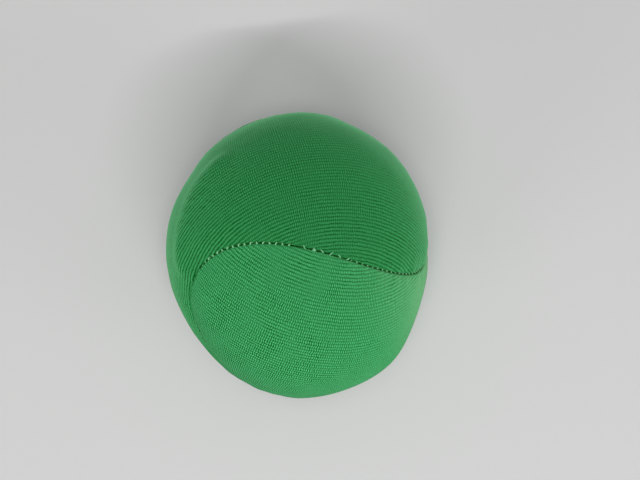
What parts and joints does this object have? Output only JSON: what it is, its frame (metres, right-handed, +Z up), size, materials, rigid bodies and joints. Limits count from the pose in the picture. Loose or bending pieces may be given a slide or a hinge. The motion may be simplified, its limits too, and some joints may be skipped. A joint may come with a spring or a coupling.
{
  "type": "soft fabric ball",
  "caption": "Soft ball for catching and juggling: a stretch-knit cover of peanut-shaped panels joined by one winding stitched seam, filled with fine grain and settled on a small flat base.",
  "frame": {"origin": "on the surface that the ball lies on, under the middle of its box", "axes": "+Z up from that surface, +Y along the ball's longer way (up in the picture), +X to the right in the picture"},
  "size_m": [0.0632, 0.0684, 0.0609],
  "materials": {
    "front_cloth": "green stretch knit with fine ribs, nap towards the light",
    "rear_cloth": "the same green stretch knit, nap away from the light",
    "seam_thread": "green polyester sewing thread",
    "closing_thread": "green hand-sewing thread",
    "grain": "fine pale grain"
  },
  "bodies": {
    "root": {"front_panel": "front_cloth", "rear_panel": "rear_cloth", "seam_thread": "seam_thread", "closing_thread": "closing_thread", "grain_filling": "grain"}
  },
  "joints": []
}
